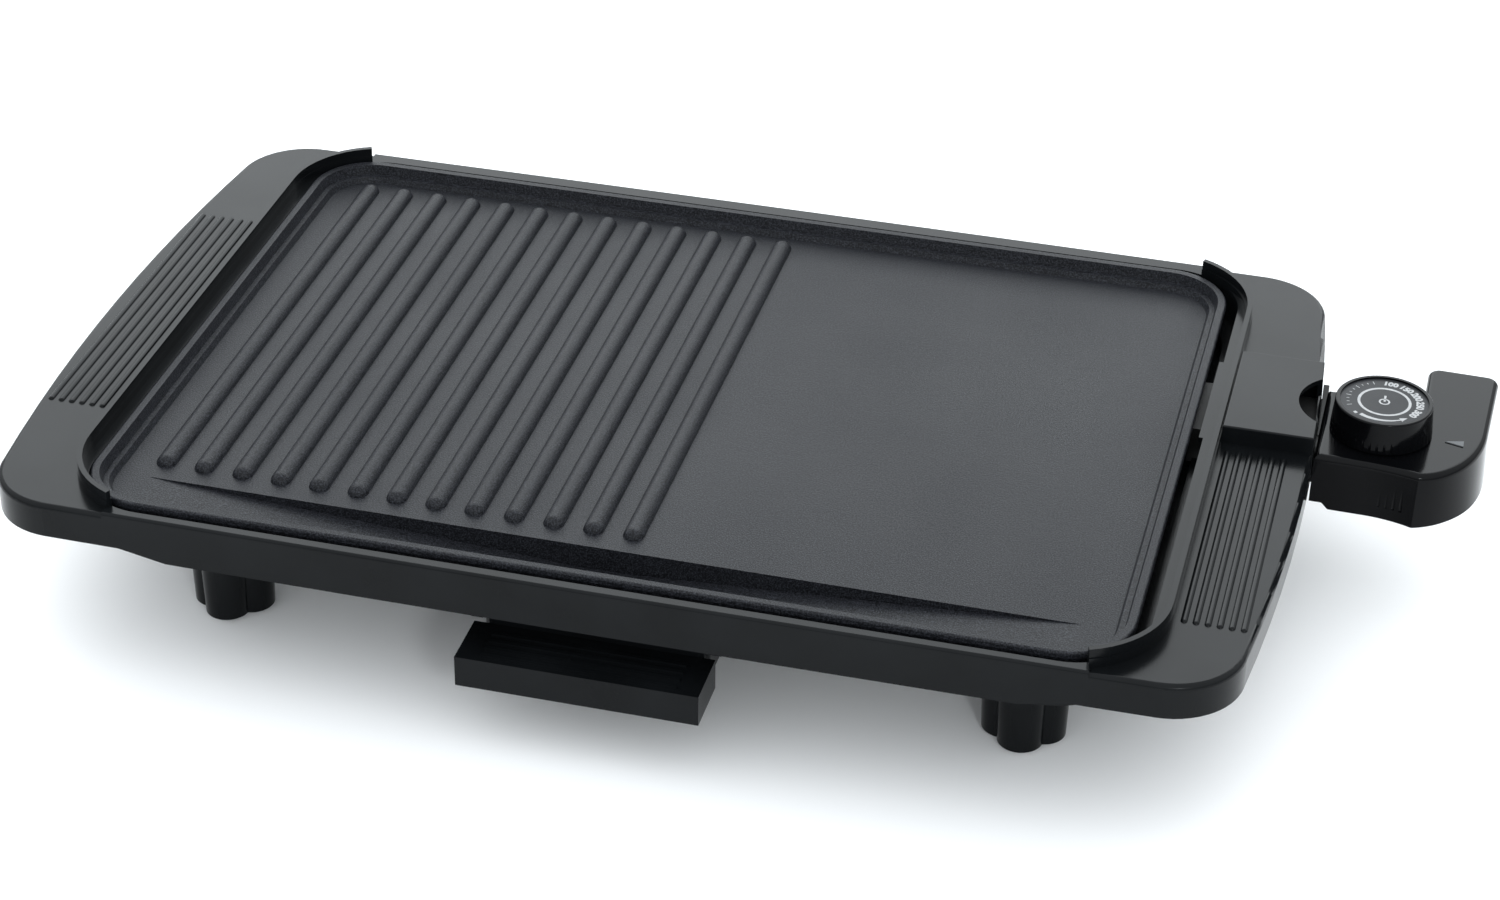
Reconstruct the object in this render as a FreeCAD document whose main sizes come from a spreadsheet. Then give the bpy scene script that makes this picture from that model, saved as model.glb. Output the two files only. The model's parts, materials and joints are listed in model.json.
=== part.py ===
import FreeCAD, Part
import Sketcher
import math
import os
import re

# Electric griddle: a moulded base with two handles, a cast plate with ribs, and a plug-in thermostat.
# Everything is drawn about the middle of the plate, with Z = 0 on the table. Each sub-part is then
# placed by -centre_x, -centre_y, so that the finished object's box stands centred on the origin.

SIZES = {
    # whole object; the base is centred on frame_x, frame_y, a little off the middle of the plate
    "centre_x": 41.2, "centre_y": -1.8, "clearance": 0.4, "frame_x": 2.4, "frame_y": 1.7,
    # levels above the table
    "rim_top": 88.0, "ledge_top": 86.0, "deck_top": 85.0, "guard_top": 94.0, "guard_step": 89.5,
    "cover_top": 94.0, "skirt_low": 64.3, "handle_low": 68.6, "pan_low": 59.5, "pan_ledge": 66.0,
    # base outline
    "half_width": 288.6, "half_depth": 176.7, "end_bow": 1240.0, "side_bow": 30000.0,
    "corner_radius": 33.5, "edge_radius": 2.4, "rail_radius": 1.5, "wall": 2.5, "pan_wall": 1.5,
    "deck_thick": 2.5, "skirt_long": 190.0, "skirt_end": 212.0,
    "well_half_x": 238.4, "well_half_y": 169.5, "well_radius": 34.0, "pan_inset": 5.0, "pan_radius": 38.0,
    # splash guards
    "guard_mid": 244.7, "guard_depth": 171.6, "guard_radius": 45.0, "guard_end": 217.0,
    "guard_thick": 2.4, "guard_foot": 3.4,
    # ribs on the handles
    "grip_pitch": 5.07, "grip_width": 3.0, "grip_height": 1.0, "grip_first_left": -277.5,
    "grip_low_left": -90.4, "grip_high_left": 91.2, "grip_first_right": 253.2,
    "grip_low_right": -126.0, "grip_high_right": 10.0,
    # socket for the probe in the right handle
    "socket_y": 52.3, "cover_inner": 249.0, "cover_half": 34.5, "notch_radius": 24.0,
    "notch_centre": 303.7, "tunnel_half": 25.0, "bridge": 1.5, "cover_screw_x": 257.0,
    "cover_screw_y": 30.4,
    # griddle plate
    "plate_half_x": 235.0, "plate_half_y": 166.0, "plate_radius": 30.0, "rim_width": 4.0,
    "rim_thick": 3.0, "rim_round": 1.2, "plate_thick": 3.5, "pan_step": 5.0, "step_width": 2.4,
    "pan_depth": 8.0, "wall_slope": 1.4, "trough_back": -133.0, "trough_depth": 11.5, "trough_end": 212.0,
    "drain_y": -145.0, "drain_radius": 9.0, "spout_length": 9.0,
    "rib_count": 13, "rib_pitch": 18.25, "rib_first": -208.4, "rib_front": -119.5, "rib_back": 146.5,
    "rib_width": 9.6, "rib_height": 4.0,
    # heating element and what holds it
    "element_radius": 3.3, "element_drop": 3.6, "element_half_x": 196.0, "element_front": -96.0,
    "element_back": 122.0, "element_bend": 24.0, "terminal_gap": 12.7, "terminal_x": 232.4,
    "pin_radius": 2.4, "pin_tip": 262.0, "bush_radius": 5.0, "bush_tip": 243.0,
    "clamp_width": 12.0, "clamp_thick": 1.2, "clamp_x": 100.0, "clamp_foot": 8.0,
    "shroud_half_y": 21.0, "shroud_half_z": 9.0, "shroud_tip": 252.0, "shroud_thick": 1.0,
    # probe and its well
    "probe_radius": 3.2, "probe_tip": 184.0, "boss_half": 6.5, "boss_length": 54.0,
    # reflector pan
    "shield_half_x": 214.0, "shield_front": -124.0, "shield_back": 150.0, "shield_low": 65.0,
    "shield_thick": 0.8, "shield_rim": 2.1, "shield_radius": 18.0, "standoff_x": 172.0,
    "standoff_front": -84.0, "standoff_back": 104.0, "standoff_radius": 5.0,
    # posts that carry the plate
    "post_x": 221.0, "post_y": 138.0, "post_radius": 6.0, "post_boss": 3.5, "stud_length": 4.5,
    "stud_radius": 5.0,
    # feet
    "foot_x": 186.0, "foot_y": 109.5, "lobe_radius": 10.3, "lobe_offset": 8.6, "foot_draft": 1.6,
    "pad_height": 2.0, "pad_radius": 7.0, "pad_sink": 1.0, "foot_floor": 8.0,
    # drip tray and its rails
    "tray_half": 51.0, "tray_front": -154.0, "tray_back": -88.0, "tray_top": 50.4, "tray_low": 32.5,
    "tray_wall": 2.0, "tray_lip": 3.5, "lip_thick": 1.5, "tray_radius": 6.0, "grip_half": 54.7,
    "grip_front": -182.0, "grip_top": 46.0, "grip_low": 31.0, "tray_rib_half": 44.0,
    "tray_rib_first": -161.6, "tray_rib_pitch": 5.4, "rail_gap": 0.5, "rail_drop": 1.9,
    "rail_thick": 1.8, "rail_reach": 9.0, "rail_length": 64.0, "rail_screw_in": 3.6,
    "rail_screw_back": 8.0, "rail_screw_front": 52.0,
    # plug-in thermostat
    "ctrl_top": 82.7, "ctrl_low": 55.7, "ctrl_split": 63.5, "ctrl_wall": 2.2, "arm_left": 291.2,
    "arm_back": 82.0, "arm_front": 21.5, "leg_back": 115.3, "ctrl_round": 3.0, "ctrl_post": 4.2,
    "neck_right": 297.0, "neck_rise": 3.0, "flange_front": 40.0, "flange_back": 88.0,
    "nose_left": 254.0, "nose_half": 23.6, "nose_low": 62.5, "nose_top": 81.6,
    "nose_round_radius": 3.0, "sleeve_radius": 4.2, "sleeve_length": 18.0,
    "knob_x": 318.3, "knob_top": 98.7, "knob_radius": 22.2, "knob_foot": 23.4, "knob_face": 20.3,
    "knob_sink": 1.0, "knob_gap": 0.4, "knob_edge": 0.8, "flute_count": 44, "flute_radius": 0.9,
    "flute_height": 7.5, "shaft_radius": 3.0, "dial_thick": 0.8,
    "pointer_x": 347.8, "pointer_long": 8.4, "pointer_half": 2.3, "pointer_drop": 2.9,
    "gland_radius": 6.5, "cord_radius": 3.6, "gland_length": 9.0, "gland_x": 352.0, "gland_z": 67.7,
    # screws
    "screw_radius": 1.75, "screw_head": 3.3, "screw_head_high": 2.2,
}

doc = FreeCAD.newDocument("electric_griddle")
sheet = doc.addObject("Spreadsheet::Sheet", "Sizes")
for row, (alias, value) in enumerate(SIZES.items(), start=1):
    sheet.set("A%d" % row, alias)
    sheet.set("B%d" % row, str(value))
    sheet.setAlias("B%d" % row, alias)
doc.recompute()

Vector = FreeCAD.Vector
UP = Vector(0, 0, 1)
PARTS = {}


def size(alias):
    return float(getattr(sheet, alias))


# ---------------------------------------------------------------- helpers for document objects

def bound(rule):
    """A rule such as "half_width - wall" as an expression on the sheet."""
    return re.sub(r"[a-z][a-z_]+", lambda match: "Sizes." + match.group(0), rule)


def bind(obj, **rules):
    """Bind properties of one object, with _ standing for the dot in a property's path."""
    for name, rule in rules.items():
        obj.setExpression(name, bound(rule))
    return obj


def set_place(obj, x, y, z):
    for axis, rule in zip("xyz", (x, y, z)):
        obj.setExpression("Placement.Base." + axis, bound(rule))
    return obj


def box(name, x, y, z):
    """A block between pairs of rules: x = (low, high) and so on."""
    obj = doc.addObject("Part::Box", name)
    sides = {"Length": x, "Width": y, "Height": z}
    for side, (low, high) in sides.items():
        obj.setExpression(side, "(%s) - (%s)" % (bound(high), bound(low)))
    return set_place(obj, x[0], y[0], z[0])


TURNS = {"Z": (0, 0, 1), "X": (1, 0, 0), "Y": (0, 1, 0)}


def rod(name, radius, length, x, y, z, along="Z"):
    """A round bar from x, y, z along one axis."""
    obj = doc.addObject("Part::Cylinder", name)
    bind(obj, Radius=radius, Height=length)
    obj.Placement = FreeCAD.Placement(Vector(), FreeCAD.Rotation(UP, Vector(*TURNS[along])))
    return set_place(obj, x, y, z)


def cone(name, low_radius, high_radius, height, x, y, z):
    obj = doc.addObject("Part::Cone", name)
    bind(obj, Radius1=low_radius, Radius2=high_radius, Height=height)
    return set_place(obj, x, y, z)


def fuse(name, *shapes):
    obj = doc.addObject("Part::MultiFuse", name)
    obj.Shapes = list(shapes)
    return obj


def group(name, *shapes):
    """Separate solids that share one node, such as a set of screws."""
    obj = doc.addObject("Part::Compound", name)
    obj.Links = list(shapes)
    return obj


def cut(name, base, *tools):
    obj = doc.addObject("Part::Cut", name)
    obj.Base = base
    obj.Tool = tools[0] if len(tools) == 1 else fuse(name + "_tools", *tools)
    return obj


def round_edges(name, base, picks, radius):
    """Round those edges of a document object that picks(edge) chooses."""
    doc.recompute()
    obj = doc.addObject("Part::Fillet", name)
    obj.Base = base
    chosen = [index for index, edge in enumerate(base.Shape.Edges, start=1) if picks(edge)]
    obj.Edges = [(index, size(radius), size(radius)) for index in chosen]
    return obj


def upright(edge):
    """True for a straight vertical edge."""
    start, end = edge.Vertexes[0].Point, edge.Vertexes[-1].Point
    return abs(start.x - end.x) < 1e-6 and abs(start.y - end.y) < 1e-6 and abs(start.z - end.z) > 1e-6


def keep(node, obj, shift="0"):
    """Name a finished sub-part and place it so that the whole object is centred on the origin."""
    obj.Label = node
    set_place(obj, "%s - centre_x" % shift, "-centre_y", "0")
    PARTS[node] = obj
    return obj


def keep_shape(node, shape):
    obj = doc.addObject("Part::Feature", node)
    obj.Shape = shape
    obj.Placement = FreeCAD.Placement(Vector(-size("centre_x"), -size("centre_y"), 0),
                                      FreeCAD.Rotation())
    obj.Label = node
    PARTS[node] = obj
    return obj


# ---------------------------------------------------------------- helpers for bare shapes

def solid_box(x_low, x_high, y_low, y_high, z_low, z_high):
    return Part.makeBox(x_high - x_low, y_high - y_low, z_high - z_low, Vector(x_low, y_low, z_low))


def rounded_block(half_x, half_y, radius, z_low, z_high):
    """A block about the Z axis with round upright corners."""
    block = solid_box(-half_x, half_x, -half_y, half_y, z_low, z_high)
    return block.makeFillet(radius, [edge for edge in block.Edges if upright(edge)])


def bowed_block(inset, z_low, z_high):
    """The base's outline, with long gentle arcs for its four sides and round corners."""
    half_x = size("half_width") - inset
    half_y = size("half_depth") - inset
    end_sag = half_y ** 2 / (2 * size("end_bow"))
    side_sag = half_x ** 2 / (2 * size("side_bow"))
    corner = Vector(half_x - end_sag, half_y - side_sag, z_low)
    corners = [Vector(sx * corner.x, sy * corner.y, z_low) for sx, sy in
               ((1, -1), (1, 1), (-1, 1), (-1, -1))]
    middles = [Vector(half_x, 0, z_low), Vector(0, half_y, z_low),
               Vector(-half_x, 0, z_low), Vector(0, -half_y, z_low)]
    arcs = [Part.Arc(corners[i], middles[i], corners[(i + 1) % 4]).toShape() for i in range(4)]
    block = Part.Face(Part.Wire(arcs)).extrude(UP * (z_high - z_low))
    radius = size("corner_radius") - inset
    block = block.makeFillet(radius, [edge for edge in block.Edges if upright(edge)])
    return block.translated(Vector(size("frame_x"), size("frame_y"), 0))


def beside(x_low, x_high, z_low, z_high):
    """Two blocks that mirror each other about the middle of the base."""
    middle = size("frame_x")
    return [solid_box(middle + x_low, middle + x_high, -200, 200, z_low, z_high),
            solid_box(middle - x_high, middle - x_low, -200, 200, z_low, z_high)]


def base_block(half_x, half_y, radius, z_low, z_high):
    """A rounded block about the middle of the base in X and of the plate in Y."""
    return rounded_block(half_x, half_y, radius, z_low, z_high).translated(Vector(size("frame_x"), 0, 0))


def at_level(edge, level):
    return all(abs(vertex.Z - level) < 1e-6 for vertex in edge.Vertexes)


# ---------------------------------------------------------------- base frame

def guard_wall(side, thick, z_low, z_high):
    """A thin wall that runs round one end of the plate, open towards the plate."""
    middle, radius, end = size("guard_mid"), size("guard_radius"), size("guard_end")
    turn_x = middle - radius
    turn_y = size("guard_depth") - radius
    reach = math.asin((end - turn_x) / radius)
    shapes = []
    for wide in (radius + thick / 2, radius - thick / 2):
        start = Vector(turn_x + wide * math.sin(reach), -turn_y - wide * math.cos(reach), z_low)
        bend = Vector(turn_x + wide * math.sin(reach / 2 + math.pi / 4),
                      -turn_y - wide * math.cos(reach / 2 + math.pi / 4), z_low)
        shapes.append((start, bend, Vector(turn_x + wide, -turn_y, z_low)))
    outer, inner = shapes
    flip = [Vector(p.x, -p.y, p.z) for p in outer], [Vector(p.x, -p.y, p.z) for p in inner]
    edges = [Part.Arc(*outer).toShape(), Part.LineSegment(outer[2], flip[0][2]).toShape(),
             Part.Arc(flip[0][2], flip[0][1], flip[0][0]).toShape(),
             Part.LineSegment(flip[0][0], flip[1][0]).toShape(),
             Part.Arc(*flip[1]).toShape(), Part.LineSegment(flip[1][2], inner[2]).toShape(),
             Part.Arc(inner[2], inner[1], inner[0]).toShape(),
             Part.LineSegment(inner[0], outer[0]).toShape()]
    wall = Part.Face(Part.Wire(edges)).extrude(UP * (z_high - z_low))
    if side < 0:
        wall.rotate(Vector(), UP, 180)
    return wall.translated(Vector(size("frame_x"), 0, 0))


def low_rib(x, y_low, y_high, level, width, height):
    """A rib along Y with round ends, whose section is a segment of a circle on the given level."""
    radius = (width ** 2 / 4 + height ** 2) / (2 * height)
    axis = level + height - radius
    rib = Part.makeCylinder(radius, y_high - y_low, Vector(x, y_low, axis), Vector(0, 1, 0))
    for y in (y_low, y_high):
        rib = rib.fuse(Part.makeSphere(radius, Vector(x, y, axis)))
    return rib.common(solid_box(x - width, x + width, y_low - width, y_high + width,
                                level - 0.5, level + height + 1))


def grip_ribs(label, count):
    """Low ribs on one handle, where the fingers rest."""
    return [low_rib(size("grip_first_" + label) + index * size("grip_pitch"),
                    size("grip_low_" + label), size("grip_high_" + label),
                    size("deck_top"), size("grip_width"), size("grip_height"))
            for index in range(count)]


def frame_shell():
    """The solid outline of the base: a higher middle between two lower handles."""
    low, ledge, deck = size("skirt_low"), size("ledge_top"), size("deck_top")
    seam = size("guard_end") + 1.5
    middle = bowed_block(0, low, ledge)
    middle = middle.makeFillet(size("rail_radius"), [e for e in middle.Edges if at_level(e, ledge)])
    handles = bowed_block(0, low, deck)
    handles = handles.makeFillet(size("edge_radius"), [e for e in handles.Edges if at_level(e, deck)])
    ends = beside(seam, 320, 0, 100)
    shell = middle.cut(ends).fuse([handles.common(end) for end in ends])
    return shell.cut(skirt_trims())


def skirt_trims():
    """What is cut from under the ends of the skirt, so that it steps up towards the handles."""
    long, end, low, high = size("skirt_long"), size("skirt_end"), size("skirt_low"), size("handle_low")
    trims = []
    for sign in (-1, 1):
        profile = [(long, low - 5), (long, low), (end, high), (320, high), (320, low - 5), (long, low - 5)]
        points = [Vector(size("frame_x") + sign * x, -200, z) for x, z in profile]
        trims.append(Part.Face(Part.makePolygon(points)).extrude(Vector(0, 400, 0)))
    return trims


def pan_block(inset, z_low):
    """The pan's shape, narrower near its floor. The inset makes the hollow inside it."""
    half_x, half_y = size("well_half_x") - inset, size("well_half_y") - inset
    step, ledge = size("pan_inset"), size("pan_ledge") + size("wall") + inset
    upper = base_block(half_x, half_y, size("well_radius") - inset, ledge, size("ledge_top") + 1)
    lower = base_block(half_x - step, half_y - step, size("pan_radius") - inset, z_low, ledge + 1)
    return upper.fuse(lower)


def base_frame():
    deck, ledge, low = size("deck_top"), size("ledge_top"), size("pan_low")
    wall, well_x, well_y, pan_wall = size("wall"), size("well_half_x"), size("well_half_y"), size("pan_wall")
    pan = pan_block(-pan_wall, low).common(solid_box(-300, 300, -200, 200, 0, deck))
    ledge_block = base_block(size("guard_mid"), size("guard_depth"), size("guard_radius"), deck - 1, ledge)
    ledge_block = ledge_block.common(solid_box(-300, 300, 0.4 - well_y, well_y - 0.4, 0, 100))
    ends = beside(well_x + wall, 320, 0, deck)
    hollow = bowed_block(wall, 0, deck - size("deck_thick")).common(ends[0].fuse(ends[1]))
    frame = frame_shell().cut(hollow).fuse([pan, ledge_block])
    frame = frame.cut(pan_block(0, low + wall))
    for side in (1, -1):
        frame = frame.fuse(guard_wall(side, size("guard_foot"), deck - 1, size("guard_step")))
        frame = frame.fuse(guard_wall(side, size("guard_thick"), deck - 1, size("guard_top")))
    frame = frame.fuse(tunnel_walls()).cut(socket_tunnel()).fuse(socket_ledge())
    frame = frame.fuse(grip_ribs("left", 6) + grip_ribs("right", 6))
    frame = frame.fuse(base_bosses()).cut(base_holes())
    return frame.removeSplitter()


def socket_tunnel():
    """The way through the right handle for the thermostat's nose. Only a thin bridge crosses it."""
    centre, half, top = size("socket_y"), size("tunnel_half"), size("deck_top")
    floor = size("pan_low") + size("wall")
    way = solid_box(size("well_half_x") - size("pan_inset"), 320, centre - half, centre + half,
                    floor, top - size("deck_thick"))
    inner = size("cover_inner") + size("wall")
    open_top = bowed_block(size("bridge"), floor, size("guard_top"))
    return way.fuse(open_top.common(solid_box(inner, 320, centre - half, centre + half, floor, 100)))


def tunnel_walls():
    """Walls under the right handle on both sides of the tunnel, down to the handle's lower edge."""
    centre, half = size("socket_y"), size("tunnel_half")
    inside = bowed_block(size("wall") / 2, size("handle_low"), size("deck_top") - size("deck_thick") / 2)
    left, thick = size("well_half_x") + size("frame_x") + 0.5, size("pan_wall")
    return [inside.common(solid_box(left, 320, low, low + thick, 0, 100))
            for low in (centre - half - thick, centre + half)]


def socket_ledge():
    """The ledge is a little wider beside the socket."""
    centre, half, top = size("socket_y"), size("cover_half"), size("ledge_top")
    edge = size("well_half_x") + size("frame_x")
    return solid_box(edge - 2, edge + 2, centre - half, centre + half, top - 2.5, top)


def corners(half_x, half_y):
    return [(sx * half_x, sy * half_y) for sx in (-1, 1) for sy in (-1, 1)]


def foot_places():
    return [(x, y + size("frame_y")) for x, y in corners(size("foot_x"), size("foot_y"))]


def standoff_places():
    return [(sign * size("standoff_x"), y) for sign in (-1, 1)
            for y in (size("standoff_front"), size("standoff_back"))]


def rail_screw_places():
    x = size("tray_half") + size("tray_lip") + size("rail_gap") + size("rail_reach") - size("rail_screw_in")
    return [(size("frame_x") + sign * x, size("tray_back") - back) for sign in (-1, 1)
            for back in (size("rail_screw_back"), size("rail_screw_front"))]


def base_bosses():
    """Bosses on the pan's floor for the plate posts, and thick spots over the feet."""
    floor = size("pan_low") + size("wall")
    bosses = []
    for x, y in corners(size("post_x"), size("post_y")):
        bosses.append(Part.makeCylinder(size("post_radius") + 1.5, size("post_boss") + 0.5,
                                        Vector(x, y, floor - 0.5)))
    for x, y in foot_places():
        bosses.append(Part.makeCylinder(6.0, 2.0, Vector(x, y, floor - 0.5)))
    return bosses


def cooling_slots(low, top):
    slots = []
    for column in range(-4, 5):
        for row in (-1, 1):
            x, y = column * 30.0, 60.0 * row
            if not (row < 0 and abs(x) < 75):
                slot = rounded_block(4.0, 26.0, 3.9, low, top)
                slots.append(slot.translated(Vector(x, y + 8, 0)))
    return slots


def base_holes():
    """Screw holes and cooling slots in the pan's floor, and the way down for the grease spout."""
    low, top = size("pan_low") - 1, size("pan_low") + 8
    hole, pilot = size("screw_radius") + 0.15, size("screw_radius") + 0.05
    places = foot_places() + corners(size("post_x"), size("post_y"))
    holes = [Part.makeCylinder(hole, top - low, Vector(x, y, low)) for x, y in places]
    holes += [Part.makeCylinder(pilot, top - low, Vector(x, y, low))
              for x, y in standoff_places() + rail_screw_places()]
    holes += [Part.makeCylinder(hole, 8, Vector(size("cover_screw_x"), size("socket_y") + side, 79))
              for side in (-size("cover_screw_y"), size("cover_screw_y"))]
    spout = size("drain_radius") + 6
    holes.append(Part.makeCylinder(spout, top - low, Vector(0, size("drain_y"), low)))
    return holes + cooling_slots(low, top)


keep_shape("base_frame", base_frame())


# ---------------------------------------------------------------- socket cover on the right handle

def socket_cover():
    deck, top, centre = size("deck_top"), size("cover_top"), size("socket_y")
    half, inner, wall = size("cover_half"), size("cover_inner"), size("wall")
    outline = bowed_block(0.3, deck, top)
    cover = outline.common(solid_box(inner, 300, centre - half, centre + half, deck, top))
    cover = cover.makeFillet(0.8, [e for e in cover.Edges if at_level(e, top)])
    room = bowed_block(wall, deck - 1, top - wall)
    room = room.common(solid_box(inner + wall, 300, centre - half + wall, centre + half - wall, 0, 100))
    notch = Part.makeCylinder(size("notch_radius"), 20, Vector(size("notch_centre"), centre, deck - 1))
    cover = cover.cut(room).cut(notch)
    for y in (centre - size("cover_screw_y"), centre + size("cover_screw_y")):
        place = Vector(size("cover_screw_x"), y, deck)
        cover = cover.fuse(Part.makeCylinder(size("screw_head"), top - deck - 1, place))
        cover = cover.cut(Part.makeCylinder(size("screw_radius"), top - deck - wall - 1, place))
    return cover.removeSplitter()


keep_shape("socket_cover", socket_cover())


# ---------------------------------------------------------------- griddle plate

def plate_cavity():
    """The hollow of the plate: two steep steps down from the rim, then the cooking surface."""
    top, rim = size("rim_top"), size("rim_width")
    half_x, half_y, radius = size("plate_half_x"), size("plate_half_y"), size("plate_radius")
    slope, step, drop, deep = size("wall_slope"), size("step_width"), size("pan_step"), size("pan_depth")

    def wire(inset, level):
        face = rounded_block(half_x - inset, half_y - inset, radius - inset, level, level + 1)
        return min(face.Faces, key=lambda f: f.CenterOfMass.z).OuterWire

    upper = Part.makeLoft([wire(rim + slope, top - drop), wire(rim, top)], True, True)
    second = rim + slope + step
    lower = Part.makeLoft([wire(second + slope, top - deep), wire(second, top - drop)], True, True)
    return upper.fuse(lower)


def grease_trough():
    """A wedge cut along the front edge that is deepest over the drain."""
    back, deep, end = size("trough_back"), size("trough_depth"), size("trough_end")
    level = size("rim_top") - size("pan_depth")
    front = -size("plate_half_y") + size("rim_width") + size("wall_slope")
    flat = size("drain_radius") + 2
    points = [(-end, level), (-flat, level - deep), (flat, level - deep), (end, level), (end, level + 1),
              (-end, level + 1), (-end, level)]
    wire = Part.makePolygon([Vector(x, front, z) for x, z in points])
    return Part.Face(wire).extrude(Vector(0, back - front, 0))


def plate_ribs():
    level = size("rim_top") - size("pan_depth")
    return [low_rib(size("rib_first") + index * size("rib_pitch"), size("rib_front"), size("rib_back"),
                    level, size("rib_width"), size("rib_height"))
            for index in range(int(size("rib_count")))]


def griddle_plate():
    top, thick = size("rim_top"), size("plate_thick")
    half_x, half_y, radius = size("plate_half_x"), size("plate_half_y"), size("plate_radius")
    under = top - size("pan_depth") - thick
    inset = size("rim_width") - 1.4
    flange = rounded_block(half_x, half_y, radius, top - size("rim_thick"), top)
    flange = flange.makeFillet(size("rim_round"), [e for e in flange.Edges if at_level(e, top)])
    tub = rounded_block(half_x - inset, half_y - inset, radius - inset, under, top - 1)
    low = top - size("pan_depth") - size("trough_depth")
    front = -half_y + inset
    keel_points = [(-size("trough_end") - 6, under), (-22, low - thick), (22, low - thick),
                   (size("trough_end") + 6, under), (size("trough_end") + 6, top - 4),
                   (-size("trough_end") - 6, top - 4), (-size("trough_end") - 6, under)]
    wedge = Part.Face(Part.makePolygon([Vector(x, front, z) for x, z in keel_points]))
    keel = wedge.extrude(Vector(0, size("trough_back") + thick - front, 0)).common(
        rounded_block(half_x - inset, half_y - inset, radius - inset, 0, top))
    plate = flange.fuse([tub, keel]).cut(plate_cavity()).cut(grease_trough())
    drain_y, drain_r = size("drain_y"), size("drain_radius")
    spout_top, spout_low = low, low - thick - size("spout_length")
    plate = plate.fuse(Part.makeCylinder(drain_r + 2, spout_top - spout_low - 1,
                                         Vector(0, drain_y, spout_low)))
    plate = plate.fuse(probe_boss(under))
    for x, y in corners(size("post_x"), size("post_y")):
        plate = plate.fuse(Part.makeCylinder(size("stud_radius"), size("stud_length") + 0.5,
                                             Vector(x, y, under - size("stud_length"))))
    plate = plate.fuse(plate_ribs())
    cutters = [Part.makeCylinder(drain_r, 40, Vector(0, drain_y, spout_low - 1)), probe_well()]
    for x, y in corners(size("post_x"), size("post_y")):
        cutters.append(Part.makeCylinder(size("screw_radius") + 0.05, size("stud_length") + 1.5,
                                         Vector(x, y, under - size("stud_length"))))
    cutters += [Part.makeCylinder(size("screw_radius") + 0.05, 3.2, Vector(x, y, under - 1))
                for x, y in strap_screw_places()]
    return plate.cut(cutters).removeSplitter()


def strap_screw_places():
    away = size("element_radius") + size("clamp_thick") + size("clamp_foot") / 2
    return [(sign * size("clamp_x"), run + side * away) for sign in (-1, 1) for side in (-1, 1)
            for run in (size("element_front"), size("element_back"))]


def probe_level():
    """The height of the heating element, its pins and the probe."""
    return size("rim_top") - size("pan_depth") - size("plate_thick") - size("element_drop")


def probe_boss(under):
    centre, half = size("socket_y"), size("boss_half")
    right = size("plate_half_x") - size("rim_width")
    return solid_box(right - size("boss_length"), right - 2, centre - half, centre + half,
                     probe_level() - 5.6, under + 1)


def probe_well():
    reach = size("plate_half_x") - size("rim_width") - size("probe_tip")
    return Part.makeCylinder(size("probe_radius") + 0.35, reach + 8,
                             Vector(size("probe_tip") - 4, size("socket_y"), probe_level()),
                             Vector(1, 0, 0))


keep_shape("griddle_plate", griddle_plate())


# ---------------------------------------------------------------- heating element and its fittings

def rounded_path(points, radius):
    """Straight runs joined by tangent arcs of one radius."""
    edges, start = [], points[0]
    for before, corner, after in zip(points, points[1:], points[2:]):
        back = (before - corner).normalize()
        ahead = (after - corner).normalize()
        turn = math.pi - back.getAngle(ahead)
        trim = radius * math.tan(turn / 2)
        first, last = corner + back * trim, corner + ahead * trim
        middle = (back + ahead).normalize()
        bulge = corner + middle * (radius / math.cos(turn / 2) - radius)
        edges.append(Part.LineSegment(start, first).toShape())
        edges.append(Part.Arc(first, bulge, last).toShape())
        start = last
    edges.append(Part.LineSegment(start, points[-1]).toShape())
    return Part.Wire(edges)


def tube_along(path, radius):
    first = path.Edges[0]
    start = first.Vertexes[0].Point
    ring = Part.Wire(Part.Circle(start, first.tangentAt(first.FirstParameter), radius).toShape())
    return path.makePipeShell([ring], True, False)


def heating_element():
    level, half_x, gap = probe_level(), size("element_half_x"), size("terminal_gap")
    right, centre = size("terminal_x"), size("socket_y")
    front, back = size("element_front"), size("element_back")
    corners_xy = [(right, centre - gap), (half_x, centre - gap), (half_x, front), (-half_x, front),
                  (-half_x, back), (half_x, back), (half_x, centre + gap), (right, centre + gap)]
    points = [Vector(x, y, level) for x, y in corners_xy]
    return tube_along(rounded_path(points, size("element_bend")), size("element_radius"))


keep_shape("heating_element", heating_element())

HEAT_LEVEL = "rim_top - pan_depth - plate_thick - element_drop"
PLATE_UNDER = "rim_top - pan_depth - plate_thick"
PAN_FLOOR = "pan_low + wall"
TERMINALS = ("socket_y - terminal_gap", "socket_y + terminal_gap")

keep("terminal_pins", group("pin_pair", *[
    rod("pin_%d" % index, "pin_radius", "pin_tip - terminal_x", "terminal_x", y, HEAT_LEVEL, "X")
    for index, y in enumerate(TERMINALS)]))

keep("ceramic_bushes", group("bush_pair", *[
    cut("bush_%d" % index,
        rod("bush_body_%d" % index, "bush_radius", "bush_tip - terminal_x - 0.2",
            "terminal_x + 0.2", y, HEAT_LEVEL, "X"),
        rod("bush_hole_%d" % index, "pin_radius + 0.05", "30", "terminal_x", y, HEAT_LEVEL, "X"))
    for index, y in enumerate(TERMINALS)]))

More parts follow.
